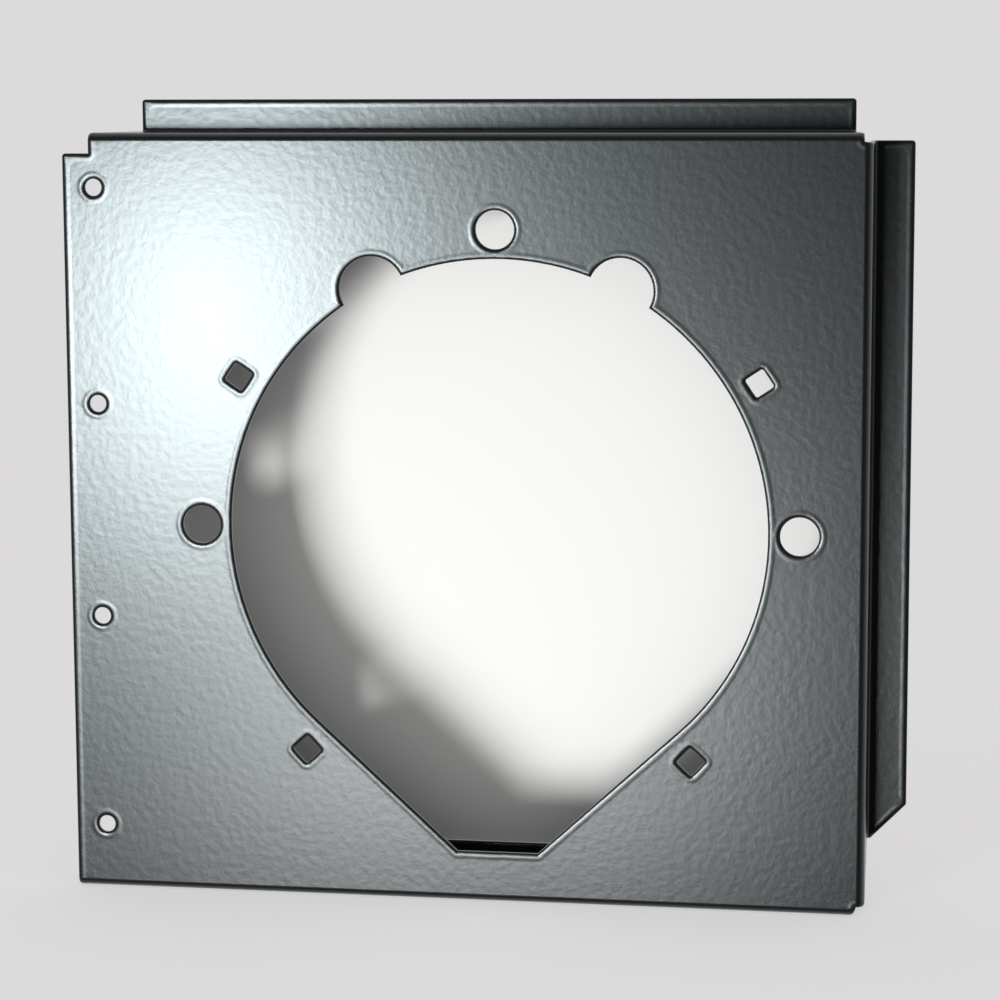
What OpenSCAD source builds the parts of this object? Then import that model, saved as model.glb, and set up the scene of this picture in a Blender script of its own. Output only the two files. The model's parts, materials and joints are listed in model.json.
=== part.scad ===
// Headlamp backing panel: one steel sheet, cut out and folded.
// X runs to the right as seen from the front, Y into the back and Z up.
// The origin is the centre of the lamp aperture on the front of the face.

/* [Sheet] */
// sheet thickness
sheet_t = 2; // [1.5:0.1:2.5]
// inside radius of each fold
fold_r = 1; // [0.6:0.1:1.6]
// front of the face to the back of the return flanges
panel_depth = 25; // [18:0.5:36]

/* [Lamp aperture] */
// aperture radius
aperture_r = 95; // [80:0.5:110]
// radius of the two keyhole lobes
lobe_r = 12; // [8:0.1:14]
// aperture's edge in to the lobe centres
lobe_inset = 0.7; // [0:0.1:3]
// angle of each lobe from straight up
lobe_angle = 27.4; // [25:0.1:30]
// aperture's lowest point to the flat at its foot
foot_gap = 20.9; // [6:0.1:26]
// width of the flat at the foot of the aperture
foot_w = 29.6; // [16:0.1:40]

/* [Lamp fixing holes] */
// aperture's edge to the circle that the lamp's holes lie on
fixing_gap = 10; // [9:0.1:13]
// aperture's edge to the centre of the top round hole
top_hole_gap = 9.2; // [8.6:0.1:13]
// radius of the three round holes
round_hole_r = 7.75; // [5:0.05:8]
// side of the square holes
square_hole_w = 9.2; // [6:0.1:10]
// angle of the upper square holes above level
upper_square_angle = 30; // [27:0.1:33]
// turn of the upper square holes
upper_square_turn = 34; // [28:0.5:38]
// angle of the lower square holes below level
lower_square_angle = 49.6; // [47:0.1:51]
// turn of the lower square holes
lower_square_turn = 43; // [38:0.5:48]

/* [Side holes] */
// number of holes down the left edge
side_hole_count = 4; // [2:1:6]
// radius of the side holes
side_hole_r = 4; // [2.5:0.1:5]
// plain left edge to the line of the side holes
side_hole_inset = 11; // [8:0.1:16]
// upper end of the left edge to the first side hole
side_hole_top = 11.8; // [8:0.1:20]
// bottom fold line to the last side hole
side_hole_bottom = 20.2; // [8:0.1:30]

/* [Face margins] */
// edge of the left round hole to the line of the side holes
left_margin = 29.25; // [12:0.05:40]
// edge of the right round hole to the right fold line
right_margin = 12.75; // [4:0.05:20]
// edge of the top round hole to the top fold line
top_margin = 22.35; // [4:0.05:30]
// foot of the aperture to the bottom fold line
bottom_margin = 14; // [8:0.1:20]
// width of the notch in the top left corner
notch_w = 9.4; // [6:0.1:12]
// height of the notch, down from the top wall
notch_h = 7.2; // [5:0.1:10]
// radius on the sheet's free corners
corner_r = 1.2; // [0.4:0.1:2]

/* [Top flange] */
// height of the top return flange above the top wall
top_return_h = 11.1; // [7:0.1:16]
// slant of the top wall's left end
top_left_slant = 13.4; // [2:0.1:20]
// slant of the top wall's right end
top_right_slant = 3.6; // [1:0.1:10]

/* [Right flange] */
// width of the right return flange beyond the right wall
right_return_w = 13.4; // [8:0.1:18]
// bottom fold line to the foot of the right wall
right_foot_gap = 0.4; // [0.2:0.1:2]
// slant of the right wall's lower end
right_foot_slant = 18.7; // [5:0.1:26]
// rise of the cut across the lower end of the right return flange
right_cut_rise = 12.6; // [6:0.1:18]

/* [Bottom flange] */
// foot of the aperture down to the top of the bottom return flange
return_clearance = 1.3; // [0.4:0.1:6]
// slant of the bottom wall's right end at the fold
bottom_end_slant = 1.4; // [0.6:0.1:2]
// slant of the bottom return flange's ends
bottom_return_slant = 8; // [3:0.1:12]

/* [Corner relief] */
// radius of the relief where the top and right folds meet
relief_r = 2.4; // [1.6:0.1:3]
// fold lines to the centre of the relief
relief_offset = 2.2; // [1.6:0.1:2.6]

/* [Hidden] */
$fn = 96;
// outside radius of each fold
fold_ro = fold_r + sheet_t;
// flat run of each wall between its two folds
wall_run = panel_depth - 2 * fold_ro;
// depth at which the second fold of each wall starts
second_fold_y = panel_depth - fold_ro;
// front of the return flanges
return_front_y = panel_depth - sheet_t;
// circles that the lamp's holes and the lobe centres lie on
fixing_pitch_r = aperture_r + fixing_gap;
lobe_pitch_r = aperture_r - lobe_inset;
top_hole_z = aperture_r + top_hole_gap;
// aperture centre to the flat at the foot of the aperture
foot_drop = aperture_r + foot_gap;
// fold lines, where the flat of the face ends
right_fold_x = fixing_pitch_r + round_hole_r + right_margin;
top_fold_z = top_hole_z + round_hole_r + top_margin;
bottom_fold_z = -foot_drop - bottom_margin;
// aperture centre to the outer sides of the walls and to the plain left edge
face_right = right_fold_x + fold_ro;
face_top = top_fold_z + fold_ro;
face_bottom = fold_ro - bottom_fold_z;
side_hole_x = -fixing_pitch_r - round_hole_r - left_margin;
face_left = side_hole_inset - side_hole_x;
// upper end of the left edge, and the spacing of the side holes below it
left_edge_z = face_top - notch_h;
side_hole_pitch = (left_edge_z - side_hole_top - side_hole_bottom - bottom_fold_z) / (side_hole_count - 1);
// height of the bottom return flange, up from the underside of the bottom wall
bottom_return_h = face_bottom - foot_drop - return_clearance;
// centre of the corner relief
relief_x = right_fold_x + relief_offset;
relief_z = top_fold_z + relief_offset;
// left end of the top fold
notch_x = notch_w - face_left;
// lower end of the right fold
right_foot_z = bottom_fold_z + right_foot_gap;
// tangents from the aperture's circle to the corners of its foot
foot_reach = norm([foot_w / 2, foot_drop]);
tangent_angle = atan2(foot_w / 2, foot_drop) + acos(aperture_r / foot_reach);
tangent_x = aperture_r * sin(tangent_angle);
tangent_z = aperture_r * cos(tangent_angle);
// how far cutters run past the surfaces they cut
over = 2;
sheet_colour = [0.12, 0.12, 0.13];

// stands a shape drawn in X and Z upright, from depth y0 to depth y1
module upright(y0, y1)
  translate([0, y1, 0])
    rotate([90, 0, 0])
      linear_extrude(y1 - y0)
        children();

// runs a section drawn in Y and Z along X, from x0 to x1
module along_x(x0, x1)
  translate([x0, 0, 0])
    rotate([90, 0, 90])
      linear_extrude(x1 - x0)
        children();

// runs a section drawn in X and Y along Z, from z0 to z1
module along_z(z0, z1)
  translate([0, 0, z0])
    linear_extrude(z1 - z0)
      children();

// quarter ring of a fold, in the first quadrant about its centre
module fold_section() {
  difference() {
    circle(r = fold_ro);
    circle(r = fold_r);
    translate([-fold_ro - over, -fold_ro - over]) square([fold_ro + over, 2 * fold_ro + 2 * over]);
    translate([-fold_ro - over, -fold_ro - over]) square([2 * fold_ro + 2 * over, fold_ro + over]);
  }
}

// section of the first fold and its wall: first axis into the back, second axis outwards,
// measured from the wall's outer side
module wall_section() {
  translate([fold_ro, -fold_ro]) mirror([1, 0]) fold_section();
  translate([fold_ro, -sheet_t]) square([wall_run, sheet_t]);
}

// wall whose return flange turns outwards by return_w
module outward_section(return_w) {
  wall_section();
  translate([second_fold_y, fold_r]) mirror([0, 1]) fold_section();
  translate([return_front_y, fold_r]) square([sheet_t, return_w - fold_r]);
}

// wall whose return flange turns inwards by return_w
module inward_section(return_w) {
  wall_section();
  translate([second_fold_y, -fold_ro]) fold_section();
  translate([return_front_y, -return_w]) square([sheet_t, return_w - fold_ro]);
}

// waste outside a rounded upper right corner whose tip is at x, z
module corner_waste(x, z) {
  translate([x - corner_r, z - corner_r])
    difference() {
      square(corner_r + over);
      circle(r = corner_r);
    }
}

// keyhole lobe beside the top of the aperture, side is -1 for left and 1 for right
module lobe(side) {
  translate([side * lobe_pitch_r * sin(lobe_angle), lobe_pitch_r * cos(lobe_angle)])
    circle(r = lobe_r);
}

// lamp aperture: a circle with two lobes, drawn out below to a short flat foot
module aperture_outline() {
  circle(r = aperture_r);
  lobe(-1);
  lobe(1);
  polygon([
    [0, 0],
    [-tangent_x, -tangent_z],
    [-foot_w / 2, -foot_drop],
    [foot_w / 2, -foot_drop],
    [tangent_x, -tangent_z]
  ]);
}

// square hole on the fixing circle, turned about its own centre
module square_hole(side, angle, turn) {
  translate([side * fixing_pitch_r * cos(angle), fixing_pitch_r * sin(angle)])
    rotate(side * turn)
      square(square_hole_w, center = true);
}

module fixing_holes() {
  translate([-fixing_pitch_r, 0]) circle(r = round_hole_r);
  translate([fixing_pitch_r, 0]) circle(r = round_hole_r);
  translate([0, top_hole_z]) circle(r = round_hole_r);
  for (side = [-1, 1]) {
    square_hole(side, upper_square_angle, upper_square_turn);
    square_hole(side, -lower_square_angle, -lower_square_turn);
  }
}

module side_holes() {
  for (step = [0 : side_hole_count - 1])
    translate([side_hole_x, left_edge_z - side_hole_top - step * side_hole_pitch])
      circle(r = side_hole_r);
}

// flat of the face inside the fold lines
module face_outline() {
  difference() {
    translate([-face_left, bottom_fold_z])
      square([face_left + right_fold_x, top_fold_z - bottom_fold_z]);
    translate([-face_left - over, left_edge_z]) square([notch_w + over, notch_h + over]);
    mirror([1, 0]) corner_waste(face_left, left_edge_z);
    aperture_outline();
    fixing_holes();
    side_holes();
  }
}

module face() {
  upright(0, sheet_t) face_outline();
}

// top wall, folded back and then up, both ends slanted towards the return flange
module top_flange() {
  difference() {
    along_x(notch_x, relief_x) translate([0, face_top]) outward_section(top_return_h);
    along_z(top_fold_z, face_top + top_return_h + over) {
      polygon([
        [notch_x - over, fold_ro],
        [notch_x, fold_ro],
        [notch_x + top_left_slant, second_fold_y],
        [notch_x + top_left_slant, panel_depth + over],
        [notch_x - over, panel_depth + over]
      ]);
      polygon([
        [relief_x + over, fold_ro],
        [relief_x - relief_r, fold_ro],
        [relief_x - relief_r - top_right_slant, second_fold_y],
        [relief_x - relief_r - top_right_slant, panel_depth + over],
        [relief_x + over, panel_depth + over]
      ]);
    }
    upright(return_front_y - fold_r, panel_depth + over)
      corner_waste(relief_x - relief_r - top_right_slant, face_top + top_return_h);
  }
}

// right wall, folded back and then out, its lower end cut away in one slant
module right_flange() {
  difference() {
    along_z(right_foot_z, relief_z)
      translate([face_right, 0]) mirror([1, 0]) rotate(90) outward_section(right_return_w);
    along_x(right_fold_x, face_right + fold_r)
      polygon([
        [fold_ro, right_foot_z - over],
        [fold_ro, right_foot_z],
        [second_fold_y, right_foot_z + right_foot_slant],
        [panel_depth + over, right_foot_z + right_foot_slant],
        [panel_depth + over, right_foot_z - over]
      ]);
    upright(second_fold_y, panel_depth + over) {
      polygon([
        [face_right + fold_r, right_foot_z - over],
        [face_right + fold_r, right_foot_z + right_foot_slant],
        [face_right + right_return_w, right_foot_z + right_foot_slant + right_cut_rise],
        [face_right + right_return_w + over, right_foot_z + right_foot_slant + right_cut_rise],
        [face_right + right_return_w + over, right_foot_z - over]
      ]);
      corner_waste(face_right + right_return_w, relief_z - relief_r);
    }
  }
}

// waste beyond the slanted end of the bottom return flange, whose right end is at x
module return_end_waste(x) {
  translate([x, bottom_fold_z])
    polygon([
      [over, 0],
      [0, 0],
      [-bottom_return_slant, bottom_return_h - fold_ro],
      [-bottom_return_slant, bottom_return_h],
      [over, bottom_return_h]
    ]);
}

// bottom wall, folded back and then up behind the face
module bottom_flange() {
  difference() {
    along_x(-face_left, right_fold_x)
      translate([0, -face_bottom]) mirror([0, 1]) inward_section(bottom_return_h);
    upright(-over, panel_depth + over)
      polygon([
        [right_fold_x, bottom_fold_z],
        [right_fold_x + over, bottom_fold_z],
        [right_fold_x + over, -face_bottom - over],
        [right_fold_x - bottom_end_slant, -face_bottom - over],
        [right_fold_x - bottom_end_slant, -face_bottom]
      ]);
    upright(return_front_y - fold_r, panel_depth + over) {
      return_end_waste(right_fold_x);
      mirror([1, 0]) return_end_waste(face_left);
    }
  }
}

// waste beyond the relief where the top and right folds meet
module corner_relief() {
  upright(-over, panel_depth + over) {
    translate([relief_x, relief_z]) circle(r = relief_r);
    translate([relief_x - relief_r, relief_z])
      square([relief_r + right_return_w + fold_ro + over, top_return_h + fold_ro + over]);
    translate([relief_x, relief_z - relief_r])
      square([right_return_w + fold_ro + over, relief_r + over]);
  }
}

module backing_panel() {
  color(sheet_colour)
    difference() {
      union() {
        face();
        top_flange();
        right_flange();
        bottom_flange();
      }
      corner_relief();
    }
}

backing_panel();
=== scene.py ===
import json
import math

import bpy
import numpy as np
from bpy.props import (
    FloatProperty,
    FloatVectorProperty,
    IntProperty,
    PointerProperty,
    StringProperty,
)
from mathutils import Matrix, Vector
from mathutils.geometry import delaunay_2d_cdt


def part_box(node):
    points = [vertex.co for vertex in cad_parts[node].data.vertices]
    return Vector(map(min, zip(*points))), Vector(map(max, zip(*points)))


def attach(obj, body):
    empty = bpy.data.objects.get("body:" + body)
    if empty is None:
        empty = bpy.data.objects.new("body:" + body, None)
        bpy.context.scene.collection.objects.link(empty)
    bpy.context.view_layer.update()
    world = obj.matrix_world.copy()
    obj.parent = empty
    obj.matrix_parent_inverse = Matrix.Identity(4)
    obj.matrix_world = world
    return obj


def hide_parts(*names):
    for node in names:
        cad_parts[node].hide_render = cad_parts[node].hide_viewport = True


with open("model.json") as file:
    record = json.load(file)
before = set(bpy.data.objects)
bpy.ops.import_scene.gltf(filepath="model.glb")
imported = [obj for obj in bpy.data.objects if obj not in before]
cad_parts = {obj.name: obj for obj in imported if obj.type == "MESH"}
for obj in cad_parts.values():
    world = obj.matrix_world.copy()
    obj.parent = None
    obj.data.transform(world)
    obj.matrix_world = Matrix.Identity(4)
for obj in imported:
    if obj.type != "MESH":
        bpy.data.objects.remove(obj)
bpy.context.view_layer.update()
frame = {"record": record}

bl_info = {
    "name": "Headlamp backing panel",
    "version": (1, 0, 0),
    "blender": (4, 5, 0),
    "location": "3D View > Sidebar > Panel",
    "description": "Folds and coats a headlamp backing panel on its frame and sets its studio",
    "category": "Add Mesh",
}

MM = 0.001
NODE = "backing_panel"
CAD_LOW, CAD_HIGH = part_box(NODE)
MOUNTS = {mount["name"]: mount for mount in frame["record"]["mounts"]}
HOLE_VALUES = (("radius", "FLOAT"), ("turn", "FLOAT"), ("square", "BOOLEAN"))  # kept per hole
FULL_TURN = 2 * math.pi
FAN_TURN = math.pi / 8  # a corner sharper than this gets a fan of points
OWN_EDGE = 0.98  # share of its reach that a rim point keeps from every edge
FILL_HULL = 0  # the triangulation that fills the whole hull of its corners
MERGE_MM = 1e-5  # corners of the blank closer than this, in millimetres, are one
DOUBLED = 1e-6  # points of an outline closer than this, in metres, are one
OVERSHOOT = 0.1 * MM  # how far the split lines run past the cut edges
SLACK = 1 * MM  # how far the folded sheet may leave the frame's depth before it is an error
PAPER_GAP = 1 * MM  # back of the return flanges to the paper
FILL = 0.3  # strength of the plain white fill from the world
ROOM_GLOSS, BACKDROP_GLOSS = 0.02, 0.8  # what gloss mirrors of the world, in front and behind
ROOM_EDGE, BACKDROP_EDGE = -0.8, 0.3  # Y of the directions between which one turns into the other
MATT_NEAR, MATT_FAR = 0.15, 0.6  # metres from the object's foot, where the floor stops being matt


def length(name, description, default):
    """A size kept in metres and shown in the scene's unit."""
    return FloatProperty(
        name=name, description=description, default=default, min=0, unit="LENGTH", precision=5
    )


def angle(name, description, degrees):
    """An angle given in degrees and kept in radians."""
    return FloatProperty(
        name=name, description=description, default=math.radians(degrees), unit="ROTATION"
    )


def face_count(name, description, default, least):
    """How many faces a stretch is cut into."""
    return IntProperty(name=name, description=description, default=default, min=least)


def colour(name, description, hex_code):
    """A colour kept as the linear form of an sRGB hex code."""
    return FloatVectorProperty(
        name=name,
        description=description,
        default=linear(hex_code),
        subtype="COLOR",
        size=3,
        min=0,
        max=1,
    )


def linear(hex_code):
    """An sRGB hex code as linear red, green and blue."""
    channels = [int(hex_code[i : i + 2], 16) / 255 for i in (1, 3, 5)]
    return tuple(c / 12.92 if c <= 0.04045 else ((c + 0.055) / 1.055) ** 2.4 for c in channels)


class PanelSizes(bpy.types.PropertyGroup):
    """Sizes of the folded sheet. Its reach and the places of its holes are read from the frame."""

    sheet_t: length("Sheet thickness", "Steel and its coat together", 2 * MM)
    fold_r: length("Inside fold radius", "Radius on the inner side of each fold", 1 * MM)
    depth: length("Depth", "Front of the face to the back of the return flanges", CAD_HIGH[1])
    face_left: length("Left reach", "Aperture centre to the plain left edge", -CAD_LOW[0])
    face_bottom: length(
        "Bottom reach", "Aperture centre to the underside of the bottom wall", -CAD_LOW[2]
    )
    right_return_w: length(
        "Right return", "Width of the return flange beyond the right wall", 13.4 * MM
    )
    top_return_h: length("Top return", "Height of the return flange above the top wall", 11.1 * MM)
    bottom_return_h: length(
        "Bottom return", "Height of the return flange behind the face", 15.7 * MM
    )
    aperture_r: length("Aperture radius", "Radius of the lamp's opening", 94.2 * MM)
    lobe_r: length("Lobe radius", "Radius of the two lobes beside the aperture's top", 11.3 * MM)
    lobe_inset: length("Lobe inset", "Aperture's edge in to the lobe centres", 0.1 * MM)
    lobe_angle: angle("Lobe angle", "Each lobe from straight up", 27.4)
    foot_drop: length("Foot drop", "Aperture centre to the flat at its foot", 114.8 * MM)
    foot_w: length("Foot width", "Width of the flat at the aperture's foot", 28.6 * MM)
    round_hole_r: length(
        "Round hole", "Radius of the three round holes beside the aperture", 6.7 * MM
    )
    side_hole_r: length("Side hole", "Radius of the holes down the left edge", 3 * MM)
    square_hole_w: length("Square hole", "Side of the square holes", 7.3 * MM)
    square_corner_r: length("Square corners", "Radius in the corners of the square holes", 0.8 * MM)
    upper_square_turn: angle("Upper square turn", "Turn of the upper square holes", 34)
    lower_square_turn: angle("Lower square turn", "Turn of the lower square holes", 43)
    notch_w: length("Notch width", "Width of the notch in the top left corner", 9.4 * MM)
    notch_h: length("Notch height", "Height of the notch from the top wall", 7.2 * MM)
    corner_r: length("Corner radius", "Radius on the sheet's free corners", 1.2 * MM)
    top_left_slant: length("Top left slant", "Slant of the top wall's left end", 13.4 * MM)
    top_right_slant: length("Top right slant", "Slant of the top wall's right end", 3.6 * MM)
    right_foot_gap: length(
        "Right foot gap", "Bottom fold line to the foot of the right wall", 0.4 * MM
    )
    right_foot_slant: length("Right foot slant", "Slant of the right wall's lower end", 18.7 * MM)
    right_cut_rise: length(
        "Right cut", "Rise of the cut across the right return's lower end", 12.6 * MM
    )
    bottom_end_slant: length(
        "Bottom end slant", "Slant of the bottom wall's right end at its fold", 1.4 * MM
    )
    bottom_return_slant: length("Bottom return slant", "Slant of the bottom return's ends", 8 * MM)
    relief_inset: length(
        "Relief inset", "Fold lines in to the ends of the top and right walls", 0.2 * MM
    )
    edge_drop: length("Edge drop", "Depth over which every cut edge rounds off", 0.6 * MM)
    rim_w: length(
        "Rim crest", "Cut edge to the crest of the rim that the coat builds up beside it", 1.5 * MM
    )
    rim_fade: length("Rim fade", "Crest of the rim to the flat sheet", 1.5 * MM)
    rim_h: length("Rim height", "Crest of the rim above the flat sheet", 0.055 * MM)


class PanelDetail(bpy.types.PropertyGroup):
    """How finely round stretches are cut into faces."""

    aperture_steps: face_count("Aperture steps", "Faces round the aperture", 288, 48)
    hole_steps: face_count("Hole steps", "Faces round each hole", 72, 16)
    square_steps: face_count("Square steps", "Faces round each corner of a square hole", 4, 1)
    fold_steps: face_count("Fold steps", "Faces across each fold", 10, 3)
    edge_steps: face_count("Edge steps", "Faces across each rounded edge", 6, 1)
    rim_steps: face_count("Rim steps", "Faces across each rim's fade", 4, 1)
    corner_steps: face_count("Corner steps", "Faces round a sharp corner's rim", 6, 1)
    longest: length("Longest stretch", "Longest face along a cut edge", 3 * MM)
    fold_spacing: length("Fold spacing", "Longest face along a fold, away from its ends", 8 * MM)


class CoatFinish(bpy.types.PropertyGroup):
    """The powder coat."""

    pigment: colour("Pigment", "Charcoal of the powder coat", "#14191b")
    pebble: length("Pebble", "Spacing of the coat's pebbled flow marks", 2.8 * MM)
    pebble_depth: length("Pebble depth", "Height of the flow marks", 0.046 * MM)
    slot: StringProperty(
        name="Slot", description="Material slot in the record", default="coated_steel"
    )


class StudioSizes(bpy.types.PropertyGroup):
    """Backdrop, paper, floor and camera."""

    backdrop: colour("Backdrop", "Pale backdrop and floor", "#dcdadb")
    paper: colour("Paper", "White paper behind the openings", "#f4f4f2")
    paper_left: length("Paper left", "Aperture centre to the paper's left edge", 121 * MM)
    paper_right: length("Paper right", "Aperture centre to the paper's right edge", 120 * MM)
    paper_down: length("Paper down", "Aperture centre to the paper's lower edge", 122 * MM)
    paper_up: length("Paper up", "Aperture centre to the paper's upper edge", 120 * MM)
    floor_reach: length("Floor reach", "Middle of the floor to its sides", 1600 * MM)
    camera_azimuth: angle("Azimuth", "Camera's turn from straight ahead, to the right", 9.042)
    camera_elevation: angle("Elevation", "Camera's height above level", 7.642)
    camera_roll: angle("Roll", "Camera's lean", -0.236)
    camera_distance: length("Distance", "Camera to its aim", 1011.4 * MM)
    aim_x: length("Aim X", "Sideways place of the camera's aim", 1.593 * MM)
    aim_z: length("Aim Z", "Height of the camera's aim", 28.277 * MM)
    focal_widths: FloatProperty(
        name="Focal length", description="Focal length in picture widths", default=2.9275
    )
    axis_rise: FloatProperty(
        name="Axis rise", description="Optical axis above the picture's middle", default=0.05
    )


# outlines


def arc(centre_x, centre_z, radius, start, end, full_circle_steps):
    """Points from start to end, angles in radians from +X towards +Z."""
    steps = max(1, math.ceil(abs(end - start) / FULL_TURN * full_circle_steps))
    turn = (end - start) / steps
    ways = [start + i * turn for i in range(steps + 1)]
    return [(centre_x + radius * math.cos(way), centre_z + radius * math.sin(way)) for way in ways]


def sides(loop):
    """Each side of a closed loop as its two ends."""
    return zip(loop, loop[1:] + loop[:1])


def rounded(corners, steps):
    """Outline through (x, z, radius) corners, each with its arc."""
    points = []
    count = len(corners)
    for i, (x, z, radius) in enumerate(corners):
        here = Vector((x, z))
        before = (Vector(corners[i - 1][:2]) - here).normalized()
        after = (Vector(corners[(i + 1) % count][:2]) - here).normalized()
        if radius == 0:
            points.append((x, z))
            continue
        half = before.angle(after) / 2
        reach = radius / math.tan(half)
        centre = here + (before + after).normalized() * radius / math.sin(half)
        start = here + before * reach - centre
        sweep = start.angle_signed(here + after * reach - centre)
        first = math.atan2(start.y, start.x)
        points += arc(centre.x, centre.y, radius, first, first - sweep, steps)
    return points


def aperture_outline(sizes, detail):
    """Circle with two lobes beside its top, drawn out below to a short flat foot."""
    radius, lobe_r = sizes.aperture_r, sizes.lobe_r
    pitch = radius - sizes.lobe_inset
    half_lobe = math.acos((radius**2 + pitch**2 - lobe_r**2) / (2 * radius * pitch))
    half_foot = math.atan2(sizes.foot_w / 2, sizes.foot_drop)
    tangent = half_foot + math.acos(radius / math.hypot(sizes.foot_w / 2, sizes.foot_drop))
    points = [(sizes.foot_w / 2, -sizes.foot_drop)]
    at = tangent - math.pi / 2
    for middle in (math.pi / 2 - sizes.lobe_angle, math.pi / 2 + sizes.lobe_angle):
        points += arc(0, 0, radius, at, middle - half_lobe, detail.aperture_steps)
        lobe_x, lobe_z = pitch * math.cos(middle), pitch * math.sin(middle)
        rim = Vector((radius * math.cos(half_lobe) - pitch, radius * math.sin(half_lobe)))
        spread = math.atan2(rim.y, rim.x)
        points += arc(
            lobe_x, lobe_z, lobe_r, middle - spread, middle + spread, detail.aperture_steps
        )[1:]
        at = middle + half_lobe
    points += arc(0, 0, radius, at, 3 * math.pi / 2 - tangent, detail.aperture_steps)[1:]
    points.append((-sizes.foot_w / 2, -sizes.foot_drop))
    return points


def square_reach(sizes):
    """Middle of a square hole to its corners."""
    return sizes.square_hole_w / math.sqrt(2)


def hole_places(sizes):
    """(x, z, radius, turn, square) of every hole in the face, placed by the record's mounts."""
    half_row = MOUNTS["lamp_side_holes"]["dims"]["spacing_x_mm"] * MM / 2
    middles = [(-half_row, 0), (half_row, 0), (0, MOUNTS["lamp_top_hole"]["pos_m"][2])]
    holes = [(x, z, sizes.round_hole_r, 0, False) for x, z in middles]
    for name in ("upper_side_bolts", "lower_side_bolts"):
        dims, (x, _, z) = MOUNTS[name]["dims"], MOUNTS[name]["pos_m"]
        for end in (-0.5, 0.5):
            holes.append((x, z + end * dims["spacing_y_mm"] * MM, sizes.side_hole_r, 0, False))
    for level, turn in (("upper", sizes.upper_square_turn), ("lower", -sizes.lower_square_turn)):
        for side_name, sign in (("left", -1), ("right", 1)):
            x, _, z = MOUNTS[f"{level}_{side_name}_square_hole"]["pos_m"]
            holes.append((x, z, square_reach(sizes), sign * turn + math.pi / 4, True))
    return holes


def hole_tree():
    """Geometry nodes that draw each point's hole as a loop of edges, round or square."""
    tree = bpy.data.node_groups.new("hole outlines", "GeometryNodeTree")
    for name, way, kind in (
        ("Holes", "INPUT", "Geometry"),
        ("Round steps", "INPUT", "Int"),
        ("Square steps", "INPUT", "Int"),
        ("Corner share", "INPUT", "Float"),
        ("Finish", "INPUT", "Material"),
        ("Outlines", "OUTPUT", "Geometry"),
    ):
        tree.interface.new_socket(name, in_out=way, socket_type=f"NodeSocket{kind}")
    given = node(tree, "NodeGroupInput").outputs
    radius, turn, square = (
        node(tree, "GeometryNodeInputNamedAttribute", {"Name": name}, data_type=kind).outputs[0]
        for name, kind in HOLE_VALUES
    )
    turned = node(tree, "ShaderNodeMath", {0: turn, 1: -1.0}, operation="MULTIPLY")
    upright = node(tree, "ShaderNodeCombineXYZ", {"X": math.pi / 2, "Y": turned.outputs[0]})
    joined = node(tree, "GeometryNodeJoinGeometry")
    other = node(tree, "FunctionNodeBooleanMath", {0: square}, operation="NOT").outputs[0]
    circle = node(
        tree, "GeometryNodeMeshCircle", {"Vertices": given["Round steps"], "Radius": 1.0}
    )
    diamond = node(tree, "GeometryNodeMeshCircle", {"Vertices": 4, "Radius": 1.0})
    curve = node(tree, "GeometryNodeMeshToCurve", {"Mesh": diamond.outputs["Mesh"]})
    eased = node(
        tree,
        "GeometryNodeFilletCurve",
        {
            "Curve": curve.outputs["Curve"],
            "Count": given["Square steps"],
            "Radius": given["Corner share"],
        },
        mode="POLY",
    )
    soft_square = node(tree, "GeometryNodeCurveToMesh", {"Curve": eased.outputs["Curve"]})
    for chosen, loop in ((other, circle), (square, soft_square)):
        placed = node(
            tree,
            "GeometryNodeInstanceOnPoints",
            {
                "Points": given["Holes"],
                "Selection": chosen,
                "Instance": loop.outputs["Mesh"],
                "Rotation": upright.outputs[0],
                "Scale": radius,
            },
        )
        tree.links.new(placed.outputs[0], joined.inputs[0])
    real = node(tree, "GeometryNodeRealizeInstances", {0: joined.outputs[0]})
    dressed = node(
        tree,
        "GeometryNodeSetMaterial",
        {"Geometry": real.outputs[0], "Material": given["Finish"]},
    )
    node(tree, "NodeGroupOutput", {0: dressed.outputs[0]})
    return tree


def plain_mesh(obj):
    """A mesh of its own from an object and its modifiers."""
    depsgraph = bpy.context.evaluated_depsgraph_get()
    return bpy.data.meshes.new_from_object(obj.evaluated_get(depsgraph))


def hole_outlines(sizes, detail, material):
    """The loops that the hole tree draws, each from +X towards +Z."""
    holes = hole_places(sizes)
    mesh = bpy.data.meshes.new("hole_places")
    mesh.from_pydata([(x, 0, z) for x, z, *_ in holes], [], [])
    for place, (name, kind) in enumerate(HOLE_VALUES, start=2):
        values = [hole[place] for hole in holes]
        mesh.attributes.new(name, kind, "POINT").data.foreach_set("value", values)
    points = bpy.data.objects.new("hole_places", mesh)
    bpy.context.collection.objects.link(points)
    tree = hole_tree()
    modifier = points.modifiers.new("hole outlines", "NODES")
    modifier.node_group = tree
    inputs = [item for item in tree.interface.items_tree if item.in_out == "INPUT"]
    sockets = {item.name: item.identifier for item in inputs}
    modifier[sockets["Round steps"]] = detail.hole_steps
    modifier[sockets["Square steps"]] = detail.square_steps
    modifier[sockets["Corner share"]] = sizes.square_corner_r / square_reach(sizes)
    modifier[sockets["Finish"]] = material
    drawn = plain_mesh(points)
    loops = edge_loops(drawn)
    bpy.data.objects.remove(points)
    bpy.data.node_groups.remove(tree)
    for leftover in (mesh, drawn):
        bpy.data.meshes.remove(leftover)
    return loops


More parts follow.
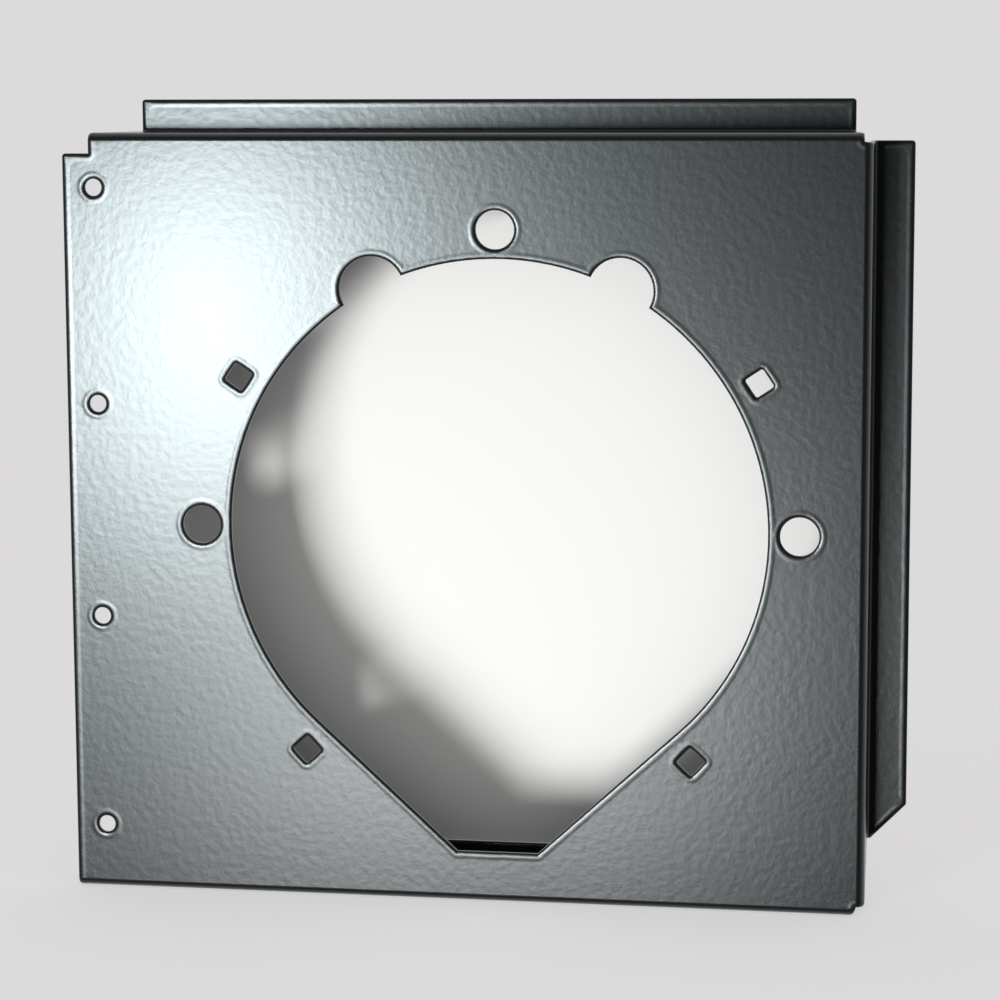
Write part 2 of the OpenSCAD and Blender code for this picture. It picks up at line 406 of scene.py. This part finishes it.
def edge_loops(mesh):
    """The closed loops of a mesh of edges as (x, z) points, each from +X towards +Z."""
    beside = {}
    for a, b in (edge.vertices for edge in mesh.edges):
        beside.setdefault(a, []).append(b)
        beside.setdefault(b, []).append(a)
    loops = []
    while beside:
        at = next(iter(beside))
        loop = []
        while at is not None:
            loop.append(mesh.vertices[at].co.xz)
            at = next((v for v in beside.pop(at) if v in beside), None)
        area = sum(here.x * after.y - here.y * after.x for here, after in sides(loop))
        loops.append([tuple(point) for point in (loop if area > 0 else reversed(loop))])
    return loops


# the sheet


class Folds:
    """Where the sheet bends: lines, and lengths along the flat blank."""

    def __init__(self, sizes):
        self.inner = sizes.fold_r
        self.outer = sizes.fold_r + sizes.sheet_t
        self.bend = math.pi / 2 * (self.inner + sizes.sheet_t / 2)
        self.back = sizes.depth - self.outer
        self.right = CAD_HIGH[0] - sizes.right_return_w - self.outer
        self.top = CAD_HIGH[2] - sizes.top_return_h - self.outer
        self.bottom = self.outer - sizes.face_bottom
        self.wall_end = self.bend + (sizes.depth - 2 * self.outer)
        self.return_start = self.wall_end + self.bend

    def place(self, along, depth, outwards):
        """(distance out from the fold line, depth) of a point of the flat blank, once folded."""
        if along <= 0:
            return along, depth
        near = self.outer - depth
        if along <= self.bend:
            turn = along / self.bend * math.pi / 2
            return near * math.sin(turn), self.outer - near * math.cos(turn)
        if along <= self.wall_end:
            return near, self.outer + along - self.bend
        rest = along - self.wall_end
        turn = min(rest / self.bend, 1) * math.pi / 2
        beyond = max(rest - self.bend, 0)
        if outwards:
            far = self.inner + depth
            out = self.outer + self.inner - far * math.cos(turn) + beyond
            return out, self.back + far * math.sin(turn)
        return near * math.cos(turn) - beyond, self.back + near * math.sin(turn)

    def lines(self, steps):
        """Places along the blank at which its faces are split, so that it can bend."""
        starts = (0, self.wall_end)
        return [start + self.bend * i / steps for start in starts for i in range(steps + 1)]

    def bent(self, x, z, depth):
        """Where a point of the flat blank lies on the folded sheet."""
        if z > self.top:
            out, back = self.place(z - self.top, depth, True)
            return x, back, self.top + out
        if z < self.bottom:
            out, back = self.place(self.bottom - z, depth, False)
            return x, back, self.bottom - out
        if x > self.right:
            out, back = self.place(x - self.right, depth, True)
            return self.right + out, back, z
        return x, depth, z


def blank_outline(sizes, folds, detail):
    """The flat blank: the face and its three flanges before they are folded."""
    left, right, top, bottom = -sizes.face_left, folds.right, folds.top, folds.bottom
    bend, wall_end, start = folds.bend, folds.wall_end, folds.return_start
    lower = bottom - start - (sizes.bottom_return_h - folds.outer)
    outer = right + start + sizes.right_return_w - folds.inner
    upper = top + start + sizes.top_return_h - folds.inner
    foot = bottom + sizes.right_foot_gap
    knee = foot + sizes.right_foot_slant
    shoulder = top - sizes.relief_inset
    top_right = right - sizes.relief_inset
    top_end = top_right - sizes.top_right_slant
    notch = left + sizes.notch_w
    ledge = CAD_HIGH[2] - sizes.top_return_h - sizes.notch_h
    top_start = notch + sizes.top_left_slant
    slant = sizes.bottom_return_slant
    corner = sizes.corner_r
    corners = [
        (left, bottom - start, 0),
        (left + slant, lower, corner),
        (right - slant, lower, corner),
        (right - sizes.bottom_end_slant, bottom - start, 0),
        (right - sizes.bottom_end_slant, bottom - bend, 0),
        (right, bottom, 0),
        (right, foot, 0),
        (right + bend, foot, 0),
        (right + wall_end, knee, 0),
        (right + start, knee, 0),
        (outer, knee + sizes.right_cut_rise, corner),
        (outer, shoulder, corner),
        (right + bend / 2, shoulder, 0),
        (right, top, 0),
        (top_right, top + bend / 2, 0),
        (top_right, top + bend, 0),
        (top_end, top + wall_end, 0),
        (top_end, upper, corner),
        (top_start, upper, corner),
        (top_start, top + wall_end, 0),
        (notch, top + bend, 0),
        (notch, ledge, 0),
        (left, ledge, corner),
    ]
    return rounded(corners, detail.hole_steps)


def rim_depth(sizes, distance):
    """Depth of the front surface at each distance from the nearest cut edge: an elliptical
    round-off up to the rim's crest, then a soft fade down to the flat."""
    across = np.clip(1 - distance / sizes.rim_w, 0, 1)
    fade = np.clip((distance - sizes.rim_w) / sizes.rim_fade, 0, 1)
    round_off = sizes.edge_drop * (1 - np.sqrt(1 - across**2))
    return round_off + sizes.rim_h * (1 - np.cos(math.pi * fade)) / 2


def rim_rows(sizes, detail):
    """Distances from a cut edge at which the rim needs points."""
    edge, rim = detail.edge_steps, detail.rim_steps
    quarter = [i / edge * math.pi / 2 for i in range(1, edge + 1)]
    fade = [sizes.rim_w + i / rim * sizes.rim_fade for i in range(1, rim + 1)]
    return [sizes.rim_w * (1 - math.cos(a)) for a in quarter] + fade


def spaced(loop, longest):
    """The loop with its long straight stretches split and its doubled points left out."""
    points = []
    for (x, z), after in sides(loop):
        run = math.dist((x, z), after)
        parts = math.ceil(run / longest) if run > DOUBLED else 0
        points += [
            (x + (after[0] - x) * i / parts, z + (after[1] - z) * i / parts) for i in range(parts)
        ]
    return points


def beside_loop(loop, reaches, corner_steps):
    """(x, z, reach) at each reach to the left of the loop, with a fan of points round an outer
    corner."""
    points = []
    count = len(loop)
    for i, corner in enumerate(loop):
        here = Vector(corner)
        before = (here - Vector(loop[i - 1])).normalized()
        after = (Vector(loop[(i + 1) % count]) - here).normalized()
        turn = math.atan2(before.x * after.y - before.y * after.x, before.dot(after))
        side = math.atan2(before.x, -before.y)
        if turn < -FAN_TURN:
            ways, stretch = [side + turn * k / corner_steps for k in range(corner_steps + 1)], 1
        else:
            ways, stretch = [side + turn / 2], 1 / math.cos(turn / 2)
        for reach in reaches:
            out = reach * stretch
            points += [
                (here.x + math.cos(way) * out, here.y + math.sin(way) * out, reach) for way in ways
            ]
    return np.array(points)


def segments(loops):
    """Every side of the loops as two arrays."""
    return [(np.array(a), np.array(b)) for loop in loops for a, b in sides(loop)]


def edge_distance(points, loops):
    """Distance from each point to the nearest cut edge."""
    nearest = np.full(len(points), np.inf)
    for start, end in segments(loops):
        run = end - start
        from_start = points - start
        share = np.clip(from_start @ run / (run @ run), 0, 1)
        nearest = np.minimum(nearest, np.hypot(*(from_start - share[:, None] * run).T))
    return nearest


def on_sheet(points, loops):
    """Whether each point lies inside the outline and outside every hole."""
    x, z = points.T
    inside = np.zeros(len(points), bool)
    for start, end in segments(loops):
        if start[1] != end[1]:
            crossed = (start[1] > z) != (end[1] > z)
            at = start[0] + (z - start[1]) / (end[1] - start[1]) * (end[0] - start[0])
            inside ^= crossed & (x < at)
    return inside


def stretches(start, end, loops):
    """The parts of a line that lie on the sheet, as pairs of distances from its start."""
    way = Vector(end) - Vector(start)
    way.normalize()
    first, last = (np.array(side) - start for side in zip(*segments(loops)))
    side_first, side_last = (way.x * ends[:, 1] - way.y * ends[:, 0] for ends in (first, last))
    crossed = (side_first > 0) != (side_last > 0)
    share = side_first[crossed] / (side_first - side_last)[crossed]
    at = np.sort((first[crossed] + (last - first)[crossed] * share[:, None]) @ np.array(way))
    return zip(at[::2], at[1::2])


def split_line(begin, stop, rows, longest):
    """Distances along a split line: close together near its ends, where it crosses the rims."""
    near = [row for row in rows if 2 * row < stop - begin]
    edge = near[-1] if near else 0
    parts = max(1, math.ceil((stop - begin - 2 * edge) / longest))
    middle = np.linspace(begin + edge, stop - edge, parts + 1)[1:-1].tolist() if near else []
    ends = [begin - OVERSHOOT] + [begin + row for row in near]
    return ends + middle + [stop - row for row in reversed(near)] + [stop + OVERSHOOT]


def flat_triangles(loops, sizes, folds, detail):
    """Corners (x, z) and triangles of the flat blank, with rows of corners along every cut edge
    for its rim, and split along every line at which the blank bends."""
    rows = rim_rows(sizes, detail)
    beside = np.concatenate([beside_loop(loop, rows, detail.corner_steps) for loop in loops])
    places, reach = beside[:, :2], beside[:, 2]
    keep = on_sheet(places, loops) & (edge_distance(places, loops) > OWN_EDGE * reach)
    corners = [point for loop in loops for point in loop]
    edges = []
    for loop in loops:
        first = len(edges)
        edges += [(first + i, first + (i + 1) % len(loop)) for i in range(len(loop))]
    corners += places[keep].tolist()
    low, high = np.min(loops[0], axis=0) - MM, np.max(loops[0], axis=0) + MM
    for along in folds.lines(detail.fold_steps):
        for start, end in (
            ((low[0], folds.top + along), (high[0], folds.top + along)),
            ((low[0], folds.bottom - along), (high[0], folds.bottom - along)),
            ((folds.right + along, low[1]), (folds.right + along, high[1])),
        ):
            way = (Vector(end) - Vector(start)).normalized()
            for begin, stop in stretches(start, end, loops):
                line = split_line(begin, stop, rows, detail.fold_spacing)
                edges += [(len(corners) + i, len(corners) + i + 1) for i in range(len(line) - 1)]
                corners += [tuple(Vector(start) + way * at) for at in line]
    scaled = [Vector(corner) / MM for corner in corners]
    found, _, faces, *_ = delaunay_2d_cdt(scaled, edges, [], FILL_HULL, MERGE_MM)
    corners = np.array([tuple(corner) for corner in found]) * MM
    triangles = np.array(faces)
    triangles = triangles[on_sheet(corners[triangles].mean(axis=1), loops)]
    used, triangles = np.unique(triangles, return_inverse=True)
    return corners[used], triangles.reshape(-1, 3)


def sheet_mesh(outline, holes, sizes, folds, detail):
    """The blank with a rim along every cut edge, folded to shape."""
    loops = [spaced(loop, detail.longest) for loop in [outline, *(hole[::-1] for hole in holes)]]
    corners, triangles = flat_triangles(loops, sizes, folds, detail)
    front = rim_depth(sizes, edge_distance(corners, loops))
    count = len(corners)
    points = [folds.bent(x, z, depth) for (x, z), depth in zip(corners, front)]
    points += [folds.bent(x, z, sizes.sheet_t - depth) for (x, z), depth in zip(corners, front)]
    directed = {tuple(side) for side in triangles[:, [0, 1, 1, 2, 2, 0]].reshape(-1, 2).tolist()}
    cut = [(a, b) for a, b in directed if (b, a) not in directed]
    faces = triangles.tolist() + (triangles[:, ::-1] + count).tolist()
    faces += [(b, a, a + count, b + count) for a, b in sorted(cut)]
    mesh = bpy.data.meshes.new("coated_panel")
    mesh.from_pydata(points, [], faces)
    return mesh


def smooth_with_flats(obj):
    """Shades the rounded edges and folds smooth and keeps the flats flat, as part of the mesh."""
    for polygon in obj.data.polygons:
        polygon.use_smooth = True
    obj.modifiers.new("flats", "WEIGHTED_NORMAL").mode = "FACE_AREA"
    plain = plain_mesh(obj)
    obj.modifiers.clear()
    obj.data = plain


# finishes


def node(tree, kind, links=None, **settings):
    """Adds a node with its settings, and sets or links its inputs by name or number."""
    made = tree.nodes.new(kind)
    for key, value in settings.items():
        setattr(made, key, value)
    for key, value in (links or {}).items():
        if isinstance(value, bpy.types.NodeSocket):
            tree.links.new(value, made.inputs[key])
        else:
            made.inputs[key].default_value = value
    return made


def new_tree(owner):
    """The emptied node tree of a material or world."""
    owner.use_nodes = True
    owner.node_tree.nodes.clear()
    return owner.node_tree


def gloss_powder_coat(finish):
    """Polyester powder coat on steel: melted grains flow into a hard glossy skin that is never
    quite flat, so broad reflections are soft and broken by fine pebbles a few millimetres apart."""
    material = bpy.data.materials.new("gloss polyester powder coat")
    tree = new_tree(material)
    place = node(tree, "ShaderNodeTexCoord").outputs["Object"]
    pebbles = node(
        tree,
        "ShaderNodeTexNoise",
        {"Vector": place, "Scale": 1 / finish.pebble, "Detail": 2.0, "Roughness": 0.45},
    )
    relief = node(
        tree,
        "ShaderNodeBump",
        {"Height": pebbles.outputs["Fac"], "Strength": 1.0, "Distance": finish.pebble_depth},
    )
    skin = node(
        tree,
        "ShaderNodeBsdfPrincipled",
        {
            "Base Color": (*finish.pigment, 1),
            "Roughness": 0.3,
            "IOR": 1.5,
            "Coat Weight": 1.0,
            "Coat Roughness": 0.24,
            "Coat IOR": 1.5,
            "Normal": relief.outputs["Normal"],
            "Coat Normal": relief.outputs["Normal"],
        },
    )
    node(tree, "ShaderNodeOutputMaterial", {"Surface": skin.outputs["BSDF"]})
    return material


class PANEL_OT_sheet(bpy.types.Operator):
    """Cut, round and fold the coated sheet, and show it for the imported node"""

    bl_idname = "panel.sheet"
    bl_label = "Coated sheet"

    def execute(self, context):
        sizes, detail = context.scene.panel_sizes, context.scene.panel_detail
        finish = context.scene.coat_finish
        folds = Folds(sizes)
        coat = gloss_powder_coat(finish)
        holes = [aperture_outline(sizes, detail)] + hole_outlines(sizes, detail, coat)
        mesh = sheet_mesh(blank_outline(sizes, folds, detail), holes, sizes, folds, detail)
        mesh.materials.append(coat)
        panel = bpy.data.objects.new("coated_panel", mesh)
        context.collection.objects.link(panel)
        smooth_with_flats(panel)
        if any(not -SLACK <= v.co.y <= sizes.depth + SLACK for v in panel.data.vertices):
            raise RuntimeError("the folded sheet left the frame's depth")
        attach(panel, "root")
        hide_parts(NODE)
        return {"FINISHED"}


# studio


def rectangle(left, right, low, high):
    """Corners of a rectangle, in order round it."""
    return [(left, low), (right, low), (right, high), (left, high)]


def plane(name, corners, material):
    """A single face in the scene, with its material."""
    mesh = bpy.data.meshes.new(name)
    mesh.from_pydata(corners, [], [range(len(corners))])
    mesh.materials.append(material)
    obj = bpy.data.objects.new(name, mesh)
    bpy.context.collection.objects.link(obj)
    return obj


def soft_lamp(name, place, width, height, radiance, tint=(1, 1, 1), lit=None, unlit=None):
    """A soft box turned to the aperture's centre, with the given radiance and tint. It lights
    only lit, or everything but unlit."""
    data = bpy.data.lights.new(name, "AREA")
    data.shape = "RECTANGLE"
    data.size, data.size_y = width, height
    data.energy = radiance * math.pi * width * height
    data.color = tint
    lamp = bpy.data.objects.new(name, data)
    lamp.location = place
    lamp.rotation_euler = (-lamp.location).to_track_quat("-Z", "Y").to_euler()
    lamp.visible_camera = False
    bpy.context.collection.objects.link(lamp)
    receivers = bpy.data.collections.new(name)
    receivers.objects.link(lit or unlit)
    receivers.collection_objects[0].light_linking.link_state = "INCLUDE" if lit else "EXCLUDE"
    lamp.light_linking.receiver_collection = receivers


def seen_by(tree, *rays):
    """1 for any of the named kinds of ray, 0 for all others."""
    path = node(tree, "ShaderNodeLightPath")
    value = path.outputs[rays[0]]
    for ray in rays[1:]:
        either = {0: value, 1: path.outputs[ray]}
        value = node(tree, "ShaderNodeMath", either, operation="MAXIMUM").outputs[0]
    return value


def backing_paper(studio):
    """Matt white paper behind the openings. It is there for the camera alone, so it neither shades
    nor mirrors in the object, and from behind it is clear."""
    material = bpy.data.materials.new("matt white paper")
    tree = new_tree(material)
    behind = node(tree, "ShaderNodeNewGeometry").outputs["Backfacing"]
    front = node(tree, "ShaderNodeMath", {0: 1.0, 1: behind}, operation="SUBTRACT").outputs[0]
    seen = seen_by(tree, "Is Camera Ray")
    shown = node(tree, "ShaderNodeMath", {0: seen, 1: front}, operation="MULTIPLY").outputs[0]
    paper = node(tree, "ShaderNodeBsdfDiffuse", {"Color": (*studio.paper, 1)}).outputs["BSDF"]
    clear = node(tree, "ShaderNodeBsdfTransparent").outputs["BSDF"]
    mixed = node(tree, "ShaderNodeMixShader", {0: shown, 1: clear, 2: paper})
    node(tree, "ShaderNodeOutputMaterial", {"Surface": mixed.outputs[0]})
    return material


def pale_floor(studio):
    """Pale floor that glows in the backdrop's colour. Near the object it is matt as well, which
    keeps the object's shadow, and its glow gives way to match, so no horizon shows."""
    material = bpy.data.materials.new("matt pale floor")
    tree = new_tree(material)
    place = node(tree, "ShaderNodeTexCoord").outputs["Object"]
    foot = (0, CAD_HIGH[1] / 2, CAD_LOW[2])
    away = node(tree, "ShaderNodeVectorMath", {0: place, 1: foot}, operation="DISTANCE")
    near = node(
        tree,
        "ShaderNodeMapRange",
        {
            "Value": away.outputs["Value"],
            "From Min": MATT_NEAR,
            "From Max": MATT_FAR,
            "To Min": 1.0,
            "To Max": 0.0,
        },
        interpolation_type="SMOOTHSTEP",
    ).outputs["Result"]
    rest = node(tree, "ShaderNodeMath", {0: near, 1: -FILL, 2: 1.0}, operation="MULTIPLY_ADD")
    glow = node(
        tree,
        "ShaderNodeEmission",
        {"Color": (*studio.backdrop, 1), "Strength": rest.outputs[0]},
    )
    scaled = {0: studio.backdrop, "Scale": near}
    pale = node(tree, "ShaderNodeVectorMath", scaled, operation="SCALE")
    matt = node(tree, "ShaderNodeBsdfDiffuse", {"Color": pale.outputs[0]})
    mixed = node(tree, "ShaderNodeAddShader", {0: glow.outputs[0], 1: matt.outputs["BSDF"]})
    node(tree, "ShaderNodeOutputMaterial", {"Surface": mixed.outputs[0]})
    return material


def pale_world(studio):
    """The backdrop's colour for whatever looks at it or mirrors it, where it is dim towards the
    room in front, and a plain white fill for the rest."""
    world = bpy.data.worlds.new("pale studio")
    bpy.context.scene.world = world
    tree = new_tree(world)
    seen = seen_by(tree, "Is Camera Ray", "Is Transmission Ray")
    mirrored = seen_by(tree, "Is Glossy Ray")
    way = node(tree, "ShaderNodeTexCoord").outputs["Generated"]
    parts = node(tree, "ShaderNodeSeparateXYZ", {0: way})
    behind = node(
        tree,
        "ShaderNodeMapRange",
        {
            "Value": parts.outputs["Y"],
            "From Min": ROOM_EDGE,
            "From Max": BACKDROP_EDGE,
            "To Min": ROOM_GLOSS,
            "To Max": BACKDROP_GLOSS,
        },
        interpolation_type="SMOOTHSTEP",
    ).outputs["Result"]
    backdrop = (*studio.backdrop, 1)
    fill = node(tree, "ShaderNodeBackground", {"Color": (1, 1, 1, 1), "Strength": FILL})
    gloss = node(tree, "ShaderNodeBackground", {"Color": backdrop, "Strength": behind})
    shown = node(tree, "ShaderNodeBackground", {"Color": backdrop, "Strength": 1.0})
    lit = node(tree, "ShaderNodeMixShader", {0: mirrored, 1: fill.outputs[0], 2: gloss.outputs[0]})
    mixed = node(tree, "ShaderNodeMixShader", {0: seen, 1: lit.outputs[0], 2: shown.outputs[0]})
    node(tree, "ShaderNodeOutputWorld", {"Surface": mixed.outputs[0]})


def studio_camera(studio):
    """The camera at the picture's viewing angle, with its optical axis above the middle."""
    azimuth, elevation = studio.camera_azimuth, studio.camera_elevation
    away = Vector(
        (
            math.sin(azimuth) * math.cos(elevation),
            -math.cos(azimuth) * math.cos(elevation),
            math.sin(elevation),
        )
    )
    aim = Vector((studio.aim_x, 0, studio.aim_z))
    data = bpy.data.cameras.new("camera")
    data.sensor_fit = "HORIZONTAL"
    data.sensor_width = 36
    data.lens = studio.focal_widths * data.sensor_width
    data.shift_y = -studio.axis_rise
    data.clip_start = 0.01
    data.clip_end = 50
    camera = bpy.data.objects.new("camera", data)
    level = away.to_track_quat("Z", "Y").to_matrix()
    turn = Matrix.Rotation(studio.camera_roll, 3, "Z")
    place = Matrix.Translation(aim + away * studio.camera_distance)
    camera.matrix_world = place @ (level @ turn).to_4x4()
    bpy.context.collection.objects.link(camera)
    bpy.context.scene.camera = camera


class PANEL_OT_stage(bpy.types.Operator):
    """Set the pale backdrop, the soft lamps and the camera"""

    bl_idname = "panel.stage"
    bl_label = "Studio"

    def execute(self, context):
        studio = context.scene.studio_sizes
        back, ground, reach = CAD_HIGH[1] + PAPER_GAP, CAD_LOW[2], studio.floor_reach
        upright = rectangle(
            -studio.paper_left, studio.paper_right, -studio.paper_down, studio.paper_up
        )
        level = rectangle(-reach, reach, -reach, reach)
        paper = plane("paper", [(x, back, z) for x, z in upright], backing_paper(studio))
        floor = plane("floor", [(x, y, ground) for x, y in level], pale_floor(studio))
        floor.visible_diffuse = floor.visible_glossy = floor.visible_shadow = False
        pale_world(studio)
        soft_lamp(
            "window",
            place=(-0.444, -1.3, -0.042),
            width=0.174,
            height=0.284,
            radiance=45.5,
            tint=(0.885, 1, 1.03),
            unlit=paper,
        )
        soft_lamp(
            "low window",
            place=(-0.233, -1.3, -0.323),
            width=0.39,
            height=0.284,
            radiance=11,
            tint=(0.96, 1, 1),
            unlit=paper,
        )
        soft_lamp(
            "paper lamp",
            place=(-1.3, -1.3, -1.15),
            width=0.85,
            height=0.85,
            radiance=28,
            lit=paper,
        )
        studio_camera(studio)
        context.scene.view_settings.view_transform = "Standard"
        return {"FINISHED"}


class PANEL_PT_pieces(bpy.types.Panel):
    """Lists the sheet and the studio in the sidebar"""

    bl_idname = "PANEL_PT_pieces"
    bl_label = "Headlamp backing panel"
    bl_space_type = "VIEW_3D"
    bl_region_type = "UI"
    bl_category = "Panel"

    def draw(self, context):
        for operator in OPERATORS:
            self.layout.operator(operator.bl_idname)
        for name in GROUPS:
            group = getattr(context.scene, name)
            box = self.layout.box()
            for key in group.bl_rna.properties.keys():
                if key not in ("rna_type", "name"):
                    box.prop(group, key)


OPERATORS = (PANEL_OT_sheet, PANEL_OT_stage)
GROUPS = {
    "panel_sizes": PanelSizes,
    "panel_detail": PanelDetail,
    "coat_finish": CoatFinish,
    "studio_sizes": StudioSizes,
}


def register():
    for item in (*GROUPS.values(), *OPERATORS, PANEL_PT_pieces):
        bpy.utils.register_class(item)
    for name, group in GROUPS.items():
        setattr(bpy.types.Scene, name, PointerProperty(type=group))


def unregister():
    for name in GROUPS:
        delattr(bpy.types.Scene, name)
    for item in (PANEL_PT_pieces, *OPERATORS, *GROUPS.values()):
        bpy.utils.unregister_class(item)


def main():
    register()
    bpy.ops.panel.sheet()
    bpy.ops.panel.stage()


if __name__ == "__main__":
    main()
